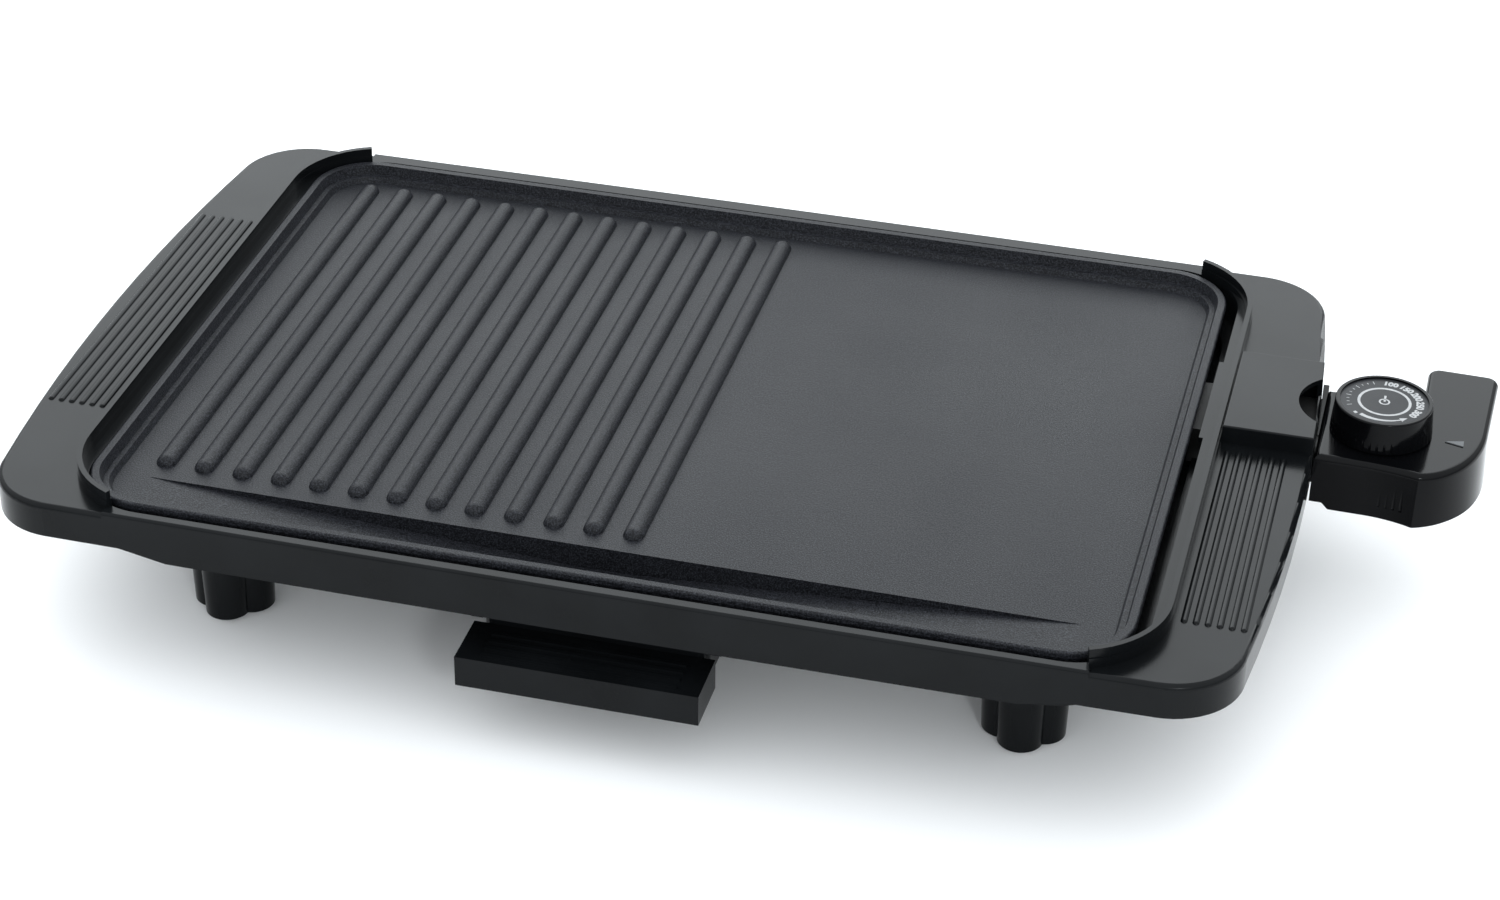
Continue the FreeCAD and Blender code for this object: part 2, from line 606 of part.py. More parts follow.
SHROUD_Y = ("socket_y - shroud_half_y", "socket_y + shroud_half_y")
SHROUD_Z = (HEAT_LEVEL + " - shroud_half_z", HEAT_LEVEL + " + shroud_half_z")
keep("terminal_shroud", cut(
    "shroud",
    box("shroud_outer", ("terminal_x + 0.3", "shroud_tip"), SHROUD_Y, SHROUD_Z),
    box("shroud_inner", ("terminal_x", "shroud_tip + 1"),
        ("socket_y - shroud_half_y + shroud_thick", "socket_y + shroud_half_y - shroud_thick"),
        (HEAT_LEVEL + " - shroud_half_z + shroud_thick", HEAT_LEVEL + " + shroud_half_z - shroud_thick"))))


STRAP_AWAY = "element_radius + clamp_thick + clamp_foot / 2"


def strap(name, x, y):
    """A saddle that holds the element's tube up against the plate."""
    low = HEAT_LEVEL + " - element_radius - clamp_thick"
    reach = "(element_radius + clamp_thick)"
    across = (x + " - clamp_width / 2", x + " + clamp_width / 2")
    saddle = box(name + "_saddle", across, ("%s - %s" % (y, reach), "%s + %s" % (y, reach)),
                 (low, PLATE_UNDER))
    feet = box(name + "_feet", across,
               ("%s - %s - clamp_foot" % (y, reach), "%s + %s + clamp_foot" % (y, reach)),
               (PLATE_UNDER + " - clamp_thick", PLATE_UNDER))
    channel = box(name + "_channel", (x + " - clamp_width", x + " + clamp_width"),
                  (y + " - element_radius", y + " + element_radius"),
                  (HEAT_LEVEL + " - element_radius", PLATE_UNDER + " + 1"))
    holes = [rod(name + "_hole_" + label, "screw_radius + 0.1", "4", x, "%s %s (%s)" % (y, sign, STRAP_AWAY),
                 PLATE_UNDER + " - 3") for label, sign in (("a", "-"), ("b", "+"))]
    return cut(name, fuse(name + "_body", saddle, feet), channel, *holes)


STRAPS = [(x, y) for x in ("0 - clamp_x", "clamp_x") for y in ("element_front", "element_back")]
keep("element_straps", group("strap_set", *[strap("strap_%d" % index, x, y)
                                            for index, (x, y) in enumerate(STRAPS)]))


def screw(name, x, y, head_low, shank_length, upward=True):
    """A pan-head screw that stands on Z, with its head at the bottom, or at the top if not upward."""
    if upward:
        head = rod(name + "_head", "screw_head", "screw_head_high", x, y, head_low)
        shank = rod(name + "_shank", "screw_radius", shank_length, x, y,
                    head_low + " + screw_head_high - 0.1")
        socket = box(name + "_slot", (x + " - screw_head", x + " + screw_head"),
                     (y + " - 0.45", y + " + 0.45"), (head_low + " - 1", head_low + " + 0.9"))
    else:
        top = head_low + " + screw_head_high"
        head = rod(name + "_head", "screw_head", "screw_head_high", x, y, head_low)
        shank = rod(name + "_shank", "screw_radius", shank_length, x, y,
                    "%s - %s + 0.1" % (head_low, shank_length))
        socket = box(name + "_slot", (x + " - screw_head", x + " + screw_head"),
                     (y + " - 0.45", y + " + 0.45"), (top + " - 0.9", top + " + 1"))
    return cut(name, fuse(name + "_blank", head, shank), socket)


strap_screws = []
for index, (x, y) in enumerate(STRAPS):
    for side in ("-", "+"):
        strap_screws.append(screw("strap_screw_%d%s" % (index, "ab"[side == "+"]), x,
                                  "%s %s (%s)" % (y, side, STRAP_AWAY),
                                  PLATE_UNDER + " - clamp_thick - screw_head_high", "3.2"))
keep("strap_screws", group("strap_screw_set", *strap_screws))


# ---------------------------------------------------------------- sketch helpers for bodies

def origin_part(body, role):
    return next(item for item in body.Origin.OriginFeatures if item.Role == role)


def new_body(name):
    return doc.addObject("PartDesign::Body", name + "_body")


def number(rule):
    return float(sheet.evalExpression(bound(rule)))


def new_sketch(body, name, role, level):
    sketch = body.newObject("Sketcher::SketchObject", name)
    sketch.AttachmentSupport = [(origin_part(body, role), "")]
    sketch.MapMode = "FlatFace"
    sketch.setExpression("AttachmentOffset.Base.z", bound(level))
    return sketch


def drive(sketch, kind, items, label, rule):
    """Add a driving constraint and bind it to the sheet."""
    index = sketch.addConstraint(Sketcher.Constraint(kind, *items, number(rule)))
    sketch.renameConstraint(index, label)
    sketch.setExpression("Constraints." + label, bound(rule))


def outline(body, name, points, level="0", role="XY_Plane"):
    """A closed polygon in a sketch, with both coordinates of every corner bound to the sheet."""
    sketch = new_sketch(body, name, role, level)
    places = [Vector(number(x), number(y), 0) for x, y in points]
    count = len(points)
    for index in range(count):
        sketch.addGeometry(Part.LineSegment(places[index], places[(index + 1) % count]))
    for index in range(count):
        sketch.addConstraint(Sketcher.Constraint("Coincident", index, 2, (index + 1) % count, 1))
    for index, (x, y) in enumerate(points):
        drive(sketch, "DistanceX", (-1, 1, index, 1), "x%d" % index, x)
        drive(sketch, "DistanceY", (-1, 1, index, 1), "y%d" % index, y)
    return sketch


def rectangle(body, name, x, y, level="0", role="XY_Plane"):
    return outline(body, name, [(x[0], y[0]), (x[1], y[0]), (x[1], y[1]), (x[0], y[1])], level, role)


def circle(body, name, radius, x, y, level="0", role="XY_Plane"):
    sketch = new_sketch(body, name, role, level)
    sketch.addGeometry(Part.Circle(Vector(number(x), number(y), 0), UP, number(radius)))
    drive(sketch, "DistanceX", (-1, 1, 0, 3), "x", x)
    drive(sketch, "DistanceY", (-1, 1, 0, 3), "y", y)
    drive(sketch, "Radius", (0,), "radius", radius)
    return sketch


def feature(body, kind, name, sketch, **rules):
    """A Pad or Pocket; a Pad goes up from its sketch and a Pocket goes down."""
    obj = body.newObject("PartDesign::" + kind, name)
    obj.Profile = sketch
    bind(obj, **rules)
    doc.recompute()
    return obj


def soften(body, name, base, picks, radius):
    doc.recompute()
    chosen = ["Edge%d" % index for index, edge in enumerate(base.Shape.Edges, start=1) if picks(edge)]
    obj = body.newObject("PartDesign::Fillet", name)
    obj.Base = (base, chosen)
    bind(obj, Radius=radius)
    doc.recompute()
    return obj


def pattern(body, kind, name, original, **settings):
    obj = body.newObject("PartDesign::" + kind, name)
    obj.Originals = [original]
    for key, value in settings.items():
        setattr(obj, key, value)
    body.Tip = obj
    doc.recompute()
    return obj


# ---------------------------------------------------------------- reflector pan under the element

shield = new_body("heat_shield")
shield_x = ("0 - shield_half_x", "shield_half_x")
shield_block = feature(shield, "Pad", "shield_block", rectangle(
    shield, "shield_outline", shield_x, ("shield_front", "shield_back"), "shield_low"),
    Length="shield_rim")
shield_room = feature(shield, "Pocket", "shield_room", rectangle(
    shield, "shield_inside", ("shield_thick - shield_half_x", "shield_half_x - shield_thick"),
    ("shield_front + shield_thick", "shield_back - shield_thick"), "shield_low + shield_rim"),
    Length="shield_rim - shield_thick")
shield_inner = soften(shield, "shield_inner_round", shield_room,
                      lambda e: upright(e) and abs(e.BoundBox.XMin) < number("shield_half_x") - 0.1,
                      "shield_radius - shield_thick")
shield_outer = soften(shield, "shield_outer_round", shield_inner,
                      lambda e: upright(e) and abs(e.BoundBox.XMin) > number("shield_half_x") - 0.1,
                      "shield_radius")
STANDOFFS = [(x, y) for x in ("0 - standoff_x", "standoff_x") for y in ("standoff_front", "standoff_back")]
for index, (x, y) in enumerate(STANDOFFS):
    feature(shield, "Pocket", "shield_hole_%d" % index, circle(
        shield, "shield_hole_sketch_%d" % index, "screw_radius + 0.1", x, y, "shield_low + shield_thick"),
        Length="shield_thick")
keep("heat_shield", shield)

keep("shield_spacers", group("spacer_set", *[
    cut("spacer_%d" % index,
        rod("spacer_body_%d" % index, "standoff_radius", "shield_low - (%s)" % PAN_FLOOR, x, y, PAN_FLOOR),
        rod("spacer_hole_%d" % index, "screw_radius + 0.1", "20", x, y, "pan_low"))
    for index, (x, y) in enumerate(STANDOFFS)]))

keep("shield_screws", group("shield_screw_set", *[
    screw("shield_screw_%d" % index, x, y, "shield_low + shield_thick", "5.9", upward=False)
    for index, (x, y) in enumerate(STANDOFFS)]))


# ---------------------------------------------------------------- posts and screws that hold the plate

POSTS = [(x, y) for x in ("0 - post_x", "post_x") for y in ("0 - post_y", "post_y")]
POST_FOOT = "pan_low + wall + post_boss"
POST_TOP = "rim_top - pan_depth - plate_thick - stud_length"
keep("plate_posts", group("post_set", *[
    cut("post_%d" % index,
        rod("post_body_%d" % index, "post_radius", "(%s) - (%s)" % (POST_TOP, POST_FOOT), x, y, POST_FOOT),
        rod("post_hole_%d" % index, "screw_radius + 0.2", "40", x, y, "pan_low"))
    for index, (x, y) in enumerate(POSTS)]))

keep("plate_screws", group("plate_screw_set", *[
    screw("plate_screw_%d" % index, x, y, "pan_low - screw_head_high", "16.5")
    for index, (x, y) in enumerate(POSTS)]))


# ---------------------------------------------------------------- feet, their pads and screws

def foot(name):
    """A hollow foot with a four-lobed section that widens upwards."""
    height = "pan_low - pad_height"
    lobes = [cone("%s_lobe_%d" % (name, index), "lobe_radius", "lobe_radius + foot_draft", height,
                  x, y, "pad_height")
             for index, (x, y) in enumerate((("lobe_offset", "0"), ("0 - lobe_offset", "0"),
                                             ("0", "lobe_offset"), ("0", "0 - lobe_offset")))]
    bore = rod(name + "_bore", "screw_head + 0.7", "%s - foot_floor" % height, "0", "0", "pad_height")
    hole = rod(name + "_hole", "screw_radius + 0.15", "80", "0", "0", "0")
    recess = rod(name + "_recess", "pad_radius + 0.1", "pad_sink", "0", "0", "pad_height")
    return cut(name + "_solid", fuse(name + "_lobes", *lobes), bore, hole, recess)


def place_at(node, obj, x, y):
    """Name a sub-part that was drawn about its own upright axis, and put that axis at x, y."""
    obj.Label = node
    set_place(obj, "%s - centre_x" % x, "%s - centre_y" % y, "0")
    PARTS[node] = obj


FEET = {"front_left": ("0 - foot_x", "frame_y - foot_y"), "front_right": ("foot_x", "frame_y - foot_y"),
        "rear_left": ("0 - foot_x", "frame_y + foot_y"), "rear_right": ("foot_x", "frame_y + foot_y")}
for corner, (x, y) in FEET.items():
    place_at("foot_" + corner, foot("foot_" + corner), x, y)
    pad_name = "foot_pad_" + corner
    pad_body = new_body(pad_name)
    pad = feature(pad_body, "Pad", pad_name + "_disc", circle(
        pad_body, pad_name + "_sketch", "pad_radius", "0", "0"), Length="pad_height + pad_sink")
    place_at(pad_name, pad_body, x, y)

keep("foot_screws", group("foot_screw_set", *[
    screw("foot_screw_" + corner, x, y, "pan_low - foot_floor - screw_head_high", "12.4")
    for corner, (x, y) in FEET.items()]))


# ---------------------------------------------------------------- drip tray and its rails

LIP_HALF = "tray_half + tray_lip"
tray = new_body("drip_tray")
tray_block = feature(tray, "Pad", "tray_block", rectangle(
    tray, "tray_outline", ("0 - tray_half", "tray_half"), ("tray_front", "tray_back"), "tray_low"),
    Length="tray_top - tray_low")
tray_round = soften(tray, "tray_round", tray_block, upright, "tray_radius")
tray_lip = feature(tray, "Pad", "tray_lip_pad", rectangle(
    tray, "tray_lip_outline", ("0 - (%s)" % LIP_HALF, LIP_HALF), ("tray_front", "tray_back"),
    "tray_top - lip_thick"), Length="lip_thick")
tray_grip = feature(tray, "Pad", "tray_grip", rectangle(
    tray, "tray_grip_outline", ("0 - grip_half", "grip_half"), ("grip_front", "tray_front"), "grip_low"),
    Length="grip_top - grip_low")
tray_room = feature(tray, "Pocket", "tray_room", rectangle(
    tray, "tray_inside", ("tray_wall - tray_half", "tray_half - tray_wall"),
    ("tray_front + tray_wall", "tray_back - tray_wall"), "tray_top"),
    Length="tray_top - tray_low - tray_wall")
tray_under = feature(tray, "Pocket", "tray_grip_hollow", rectangle(
    tray, "tray_grip_inside", ("tray_wall - grip_half", "grip_half - tray_wall"),
    ("grip_front + tray_wall", "tray_front - tray_wall"), "grip_top - tray_wall"), Length="30")
tray_rib = feature(tray, "Pad", "tray_rib", rectangle(
    tray, "tray_rib_outline", ("0 - tray_rib_half", "tray_rib_half"),
    ("tray_rib_first - 1", "tray_rib_first + 1"), "grip_top - 0.5"), Length="1.4")
tray_ribs = pattern(tray, "LinearPattern", "tray_ribs", tray_rib,
                    Direction=(origin_part(tray, "Y_Axis"), [""]), Reversed=True,
                    Length=3 * size("tray_rib_pitch"), Occurrences=4)
keep("drip_tray", tray, "frame_x")

RAIL_SIDE = "tray_half + tray_lip + rail_gap"
RAIL_TOP = "tray_top - rail_drop"
for side, sign in (("left", "0 - 1 *"), ("right", "1 *")):
    rail = new_body("tray_rail_" + side)
    profile = [(RAIL_SIDE, "pan_low"), (RAIL_SIDE, RAIL_TOP), ("tray_half + rail_gap", RAIL_TOP),
               ("tray_half + rail_gap", RAIL_TOP + " - rail_thick"),
               (RAIL_SIDE + " + rail_thick", RAIL_TOP + " - rail_thick"),
               (RAIL_SIDE + " + rail_thick", "pan_low - rail_thick"),
               (RAIL_SIDE + " + rail_reach", "pan_low - rail_thick"),
               (RAIL_SIDE + " + rail_reach", "pan_low")]
    sketch = outline(rail, "rail_profile_" + side, [("%s (%s)" % (sign, x), z) for x, z in profile],
                     "0 - tray_back", "XZ_Plane")
    rail_pad = feature(rail, "Pad", "rail_bar_" + side, sketch, Length="rail_length")
    for end in ("back", "front"):
        feature(rail, "Pocket", "rail_hole_%s_%s" % (side, end), circle(
            rail, "rail_hole_sketch_%s_%s" % (side, end), "screw_radius + 0.2",
            "%s (%s + rail_reach - rail_screw_in)" % (sign, RAIL_SIDE),
            "tray_back - rail_screw_" + end, "pan_low"), Length="rail_thick")
    keep("tray_rail_" + side, rail, "frame_x")

keep("rail_screws", group("rail_screw_set", *[
    screw("rail_screw_%s_%s" % (side, end), "%s (%s + rail_reach - rail_screw_in)" % (sign, RAIL_SIDE),
          "tray_back - rail_screw_" + end, "pan_low - rail_thick - screw_head_high", "4.2")
    for side, sign in (("left", "0 - 1 *"), ("right", "1 *")) for end in ("back", "front")]), "frame_x")

keep("cover_screws", group("cover_screw_set", *[
    screw("cover_screw_%d" % index, "cover_screw_x", "socket_y %s cover_screw_y" % sign,
          "deck_top - deck_thick - screw_head_high", "7.4")
    for index, sign in enumerate("-+")]))


# ---------------------------------------------------------------- plug-in thermostat: housing

# The outline of the housing seen from above, once for its top and once for its wider foot.
TOP_CURVES = [
    [(291.2, 82.0), (291.2, 21.8)],
    [(291.2, 21.8), (315.5, 20.9)],
    [(315.5, 20.9), (328.0, 19.5), (339.0, 17.2)],
    [(339.0, 17.2), (345.6, 19.6), (354.0, 26.8), (360.2, 36.3), (364.6, 48.8), (366.4, 62.3)],
    [(366.4, 62.3), (368.0, 107.8)],
    [(368.0, 107.8), (366.6, 112.6), (362.4, 114.5)],
    [(362.4, 114.5), (341.0, 115.1)],
    [(341.0, 115.1), (337.0, 113.6), (335.3, 109.8)],
    [(335.3, 109.8), (335.3, 82.0)],
    [(335.3, 82.0), (291.2, 82.0)],
]
FOOT_CURVES = [
    [(291.2, 82.0), (291.2, 20.8)],
    [(291.2, 20.8), (314.0, 20.2)],
    [(314.0, 20.2), (327.5, 18.8), (338.5, 15.4)],
    [(338.5, 15.4), (345.8, 18.8), (354.6, 26.2), (361.6, 36.2), (366.0, 48.9), (367.6, 62.4)],
    [(367.6, 62.4), (368.6, 107.9)],
    [(368.6, 107.9), (367.2, 113.0), (362.4, 115.0)],
    [(362.4, 115.0), (341.0, 115.6)],
    [(341.0, 115.6), (336.8, 114.0), (335.0, 110.0)],
    [(335.0, 110.0), (335.0, 82.2)],
    [(335.0, 82.2), (291.2, 82.0)],
]


def closed_wire(curves, level):
    edges = []
    for curve in curves:
        points = [Vector(x, y, level) for x, y in curve]
        if len(points) == 2:
            edges.append(Part.LineSegment(*points).toShape())
        elif len(points) == 3:
            edges.append(Part.Arc(*points).toShape())
        else:
            spline = Part.BSplineCurve()
            spline.interpolate(points)
            edges.append(spline.toShape())
    return Part.Wire(edges)


def housing_solid():
    """The housing without its hollow: it is shallower at the neck, and has grip lines near its corner."""
    low, top = size("ctrl_low"), size("ctrl_top")
    body = Part.makeLoft([closed_wire(FOOT_CURVES, low), closed_wire(TOP_CURVES, top)], True, True)
    body = body.makeFillet(size("ctrl_round"), [e for e in body.Edges if at_level(e, top)])
    neck, rise = size("neck_right"), size("neck_rise")
    profile = [(280, low - 1), (280, low + rise), (neck, low + rise), (neck + rise + 1, low - 1),
               (280, low - 1)]
    slope = Part.Face(Part.makePolygon([Vector(x, 0, z) for x, z in profile])).extrude(Vector(0, 150, 0))
    grips = [Part.makeCylinder(0.9, 14, Vector(x, y, low + 6)) for x, y in GRIP_LINES]
    return body.cut([slope] + grips)


# Where the grip lines are cut in the front of the housing, and the corners of the hollow inside it,
# about one wall in from the outline.
GRIP_LINES = [(322.5, 19.1), (325.8, 18.6), (329.1, 18.1), (332.4, 17.4)]
ROOM_CORNERS = [(294.0, 79.2), (294.0, 24.9), (315.8, 24.1), (336.8, 21.4), (343.6, 24.2), (351.4, 30.6),
                (356.8, 39.0), (361.0, 50.6), (363.2, 63.6), (364.8, 107.6), (363.4, 110.8), (360.6, 111.6),
                (342.0, 112.2), (338.4, 110.0), (338.4, 79.2)]


def housing_room():
    """The hollow inside both shells."""
    wall, low, top = size("ctrl_wall"), size("ctrl_low"), size("ctrl_top")
    points = [Vector(x, y, low + wall) for x, y in ROOM_CORNERS]
    face = Part.Face(Part.makePolygon(points + points[:1]))
    room = face.extrude(UP * (top - low - 2 * wall))
    neck = size("neck_right") + size("neck_rise") + wall
    return room.cut(solid_box(280, neck, 0, 150, low, low + size("neck_rise") + wall))


CTRL_SCREWS = [("arm_left + 15", "arm_front + 8"), ("arm_left + 15", "arm_back - 7.5"),
               ("gland_x", "leg_back - 18")]


def housing_posts(z_low, z_high, radius):
    return [Part.makeCylinder(radius, z_high - z_low, Vector(number(x), number(y), z_low))
            for x, y in CTRL_SCREWS]


def nose_window(gap):
    centre, half = size("socket_y"), size("nose_half") - 4 + gap
    return solid_box(280, size("arm_left") + 6, centre - half, centre + half,
                     size("nose_low") + 4 - gap, size("nose_top") - 4 + gap)


def gland_hole(radius):
    length = size("gland_length")
    return Part.makeCylinder(radius, length + 10, Vector(size("gland_x"), size("leg_back") - length,
                                                         size("gland_z")), Vector(0, 1, 0))


def upper_shell():
    split, top, wall = size("ctrl_split"), size("ctrl_top"), size("ctrl_wall")
    shell = housing_solid().cut(housing_room())
    shell = shell.common(solid_box(250, 400, 0, 150, split, top + 1))
    shell = shell.fuse(housing_posts(split, top - 1, size("ctrl_post")))
    shell = shell.cut(housing_posts(split, top - wall - 2, size("screw_radius")))
    shaft = Part.makeCylinder(size("shaft_radius") + 0.5, 10,
                              Vector(size("knob_x"), size("socket_y"), top - 5))
    return shell.cut([shaft, nose_window(0), gland_hole(size("gland_radius"))])


def lower_shell():
    split, low, wall = size("ctrl_split"), size("ctrl_low"), size("ctrl_wall")
    shell = housing_solid().cut(housing_room())
    shell = shell.common(solid_box(250, 400, 0, 150, low - 1, split))
    shell = shell.fuse(housing_posts(low, split, size("ctrl_post")))
    shell = shell.cut(housing_posts(low, split, size("screw_radius") + 0.2))
    shell = shell.cut(housing_posts(low, low + size("screw_head_high") + 0.2, size("screw_head") + 0.4))
    return shell.cut([nose_window(0), gland_hole(size("gland_radius"))])


keep_shape("controller_upper_shell", upper_shell())
keep_shape("controller_lower_shell", lower_shell())

keep("controller_screws", group("controller_screw_set", *[
    screw("controller_screw_%d" % index, x, y, "ctrl_low + 0.2", "12")
    for index, (x, y) in enumerate(CTRL_SCREWS)]))


# ---------------------------------------------------------------- plug-in thermostat: nose and probe

NOSE_Y = ("socket_y - nose_half", "socket_y + nose_half")


def nose_flange():
    """A thin black plate on the end of the arm that follows the edge of the handle."""
    front, back, right = size("flange_front"), size("flange_back"), size("arm_left")
    low, top, edge = size("ctrl_low") + size("neck_rise"), size("ctrl_top"), 4.0
    plate = solid_box(right - 5, right, front, back, low, top)
    plate = plate.makeFillet(edge, [e for e in plate.Edges if e.BoundBox.YMin > back - 1
                                    and e.BoundBox.ZMin > top - 1])
    return plate.cut(bowed_block(-size("clearance"), low - 1, top + 1))


nose_block = box("nose_block", ("nose_left", "arm_left"), NOSE_Y, ("nose_low", "nose_top"))
nose_round = round_edges("nose_round", nose_block,
                         lambda e: abs(e.BoundBox.XMax - e.BoundBox.XMin) > 30, "nose_round_radius")
nose_key = box("nose_key", ("arm_left - 1", "arm_left + 5.5"),
               ("socket_y - nose_half + 4", "socket_y + nose_half - 4"), ("nose_low + 4", "nose_top - 4"))
flange = doc.addObject("Part::Feature", "nose_flange")
flange.Shape = nose_flange()
nose_holes = [rod("sleeve_bore_%d" % index, "sleeve_radius", "sleeve_length", "nose_left - 1", y,
                  HEAT_LEVEL, "X") for index, y in enumerate(TERMINALS)]
nose_holes.append(rod("probe_bore", "probe_radius", "60", "nose_left - 1", "socket_y", HEAT_LEVEL, "X"))
keep("probe_nose", cut("nose", fuse("nose_solid", nose_round, nose_key, flange), *nose_holes))

keep("contact_sleeves", group("sleeve_pair", *[
    cut("sleeve_%d" % index,
        rod("sleeve_body_%d" % index, "sleeve_radius", "sleeve_length - 1.5", "nose_left + 0.5", y,
            HEAT_LEVEL, "X"),
        rod("sleeve_hole_%d" % index, "pin_radius + clearance", "sleeve_length - 5", "nose_left", y,
            HEAT_LEVEL, "X"))
    for index, y in enumerate(TERMINALS)]))

keep("sensing_probe", fuse(
    "probe", rod("probe_rod", "probe_radius", "arm_left + 8 - probe_tip - probe_radius",
                 "probe_tip + probe_radius", "socket_y", HEAT_LEVEL, "X"),
    set_place(bind(doc.addObject("Part::Sphere", "probe_end"), Radius="probe_radius"),
              "probe_tip + probe_radius", "socket_y", HEAT_LEVEL)))

keep("thermostat_body", cut(
    "thermostat_core",
    fuse("thermostat_blank",
         box("thermostat_block", ("knob_x - 16", "knob_x + 16"), ("socket_y - 15", "socket_y + 15"),
             ("ctrl_low + ctrl_wall", "ctrl_top - ctrl_wall - 4")),
         rod("thermostat_neck", "shaft_radius + 2.5", "3", "knob_x", "socket_y", "ctrl_top - ctrl_wall - 4")),
    rod("shaft_bore", "shaft_radius + 0.05", "20", "knob_x", "socket_y", "ctrl_top - 12"),
    rod("probe_clear", "probe_radius + 0.2", "20", "knob_x - 20", "socket_y", HEAT_LEVEL, "X")))

keep("cord_gland", cut(
    "gland",
    rod("gland_body", "gland_radius", "gland_length", "gland_x", "leg_back - gland_length",
        "gland_z", "Y"),
    rod("gland_bore", "cord_radius", "gland_length + 2", "gland_x", "leg_back - gland_length - 1",
        "gland_z", "Y")))

pointer = new_body("dial_pointer")
pointer_pad = feature(pointer, "Pad", "pointer_pad", outline(
    pointer, "pointer_outline",
    [("pointer_x", "socket_y - pointer_drop"),
     ("pointer_x + pointer_long", "socket_y - pointer_drop - pointer_half"),
     ("pointer_x + pointer_long", "socket_y - pointer_drop + pointer_half")], "ctrl_top"), Length="0.5")
keep("dial_pointer", pointer)


# ---------------------------------------------------------------- temperature knob

KNOB_LOW = "ctrl_top + knob_gap"
shaft = new_body("knob_shaft")
shaft_pad = feature(shaft, "Pad", "shaft_pad", circle(
    shaft, "shaft_sketch", "shaft_radius", "knob_x", "socket_y", "ctrl_top - 11.5"),
    Length="knob_top - 5 - (ctrl_top - 11.5)")
keep("knob_shaft", shaft)


def knob():
    """A hollow knob with a sunk face, a hub on the shaft, and flutes round its lower half."""
    low, top = number(KNOB_LOW), size("knob_top")
    axis = Vector(size("knob_x"), size("socket_y"), low)
    wall, face = 2.0, top - size("knob_sink") - size("dial_thick")
    foot, head = size("knob_foot"), size("knob_radius")
    body = Part.makeCone(foot, head, top - low, axis)
    body = body.makeFillet(size("knob_edge"), [e for e in body.Edges if at_level(e, top) or at_level(e, low)])
    body = body.cut(Part.makeCone(foot - wall, head - wall - 0.4, face - wall - low, axis))
    body = body.fuse(Part.makeCylinder(size("shaft_radius") + 3, face - wall - low,
                                       axis + UP * 0.6))
    sink = Part.makeCylinder(size("knob_face"), 5, Vector(axis.x, axis.y, face))
    bore = Part.makeCylinder(size("shaft_radius"), top - 5 - low, axis)
    body = body.cut([sink, bore])
    flute_top = low + size("flute_height")
    radius, count = size("flute_radius"), int(size("flute_count"))
    flutes = []
    for index in range(count):
        angle = 2 * math.pi * index / count
        out = Vector(math.cos(angle), math.sin(angle), 0)
        flute = Part.makeCylinder(radius, flute_top - low + 1,
                                  axis + out * (foot + radius * 0.45) - UP)
        flutes.append(flute.fuse(Part.makeSphere(radius, axis + out * (foot + radius * 0.45)
                                                 + UP * (flute_top - low))))
    return body.cut(flutes)


keep_shape("temperature_knob", knob())

disc = new_body("dial_disc")
disc_pad = feature(disc, "Pad", "disc_pad", circle(
    disc, "disc_sketch", "knob_face", "knob_x", "socket_y", "knob_top - knob_sink - dial_thick"),
    Length="dial_thick")
keep("dial_disc", disc)


# ---------------------------------------------------------------- last: checks and files

doc.recompute()
for obj in doc.Objects:
    if "Invalid" in obj.State or "Error" in obj.State:
        raise RuntimeError("%s did not build: %s" % (obj.Name, obj.State))
for node, obj in PARTS.items():
    if obj.Shape.isNull() or not obj.Shape.isValid():
        raise RuntimeError("%s has no valid shape" % node)

os.makedirs("parts", exist_ok=True)
for node, obj in PARTS.items():
    obj.Shape.exportStep("parts/%s.step" % node)
    print("%-24s %2d solid(s) %9.0f mm3" % (node, len(obj.Shape.Solids), obj.Shape.Volume))
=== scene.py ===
import bmesh
import bpy
import json
import math
from mathutils import Matrix, Vector


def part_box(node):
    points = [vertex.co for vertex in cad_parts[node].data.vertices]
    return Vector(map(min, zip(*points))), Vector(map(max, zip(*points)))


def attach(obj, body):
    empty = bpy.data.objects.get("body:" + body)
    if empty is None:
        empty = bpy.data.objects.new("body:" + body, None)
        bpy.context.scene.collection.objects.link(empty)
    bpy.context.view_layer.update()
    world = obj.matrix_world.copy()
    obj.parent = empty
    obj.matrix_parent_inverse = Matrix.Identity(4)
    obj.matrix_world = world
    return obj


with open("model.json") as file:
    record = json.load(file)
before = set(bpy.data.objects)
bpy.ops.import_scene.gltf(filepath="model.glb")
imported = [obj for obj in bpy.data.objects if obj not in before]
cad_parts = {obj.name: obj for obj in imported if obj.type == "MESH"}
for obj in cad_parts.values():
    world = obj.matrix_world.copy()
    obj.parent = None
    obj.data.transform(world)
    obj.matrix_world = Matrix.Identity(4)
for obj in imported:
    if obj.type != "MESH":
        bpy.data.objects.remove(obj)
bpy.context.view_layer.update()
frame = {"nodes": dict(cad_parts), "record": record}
NODES = frame["nodes"]

# ---------------------------------------------------------------- node materials


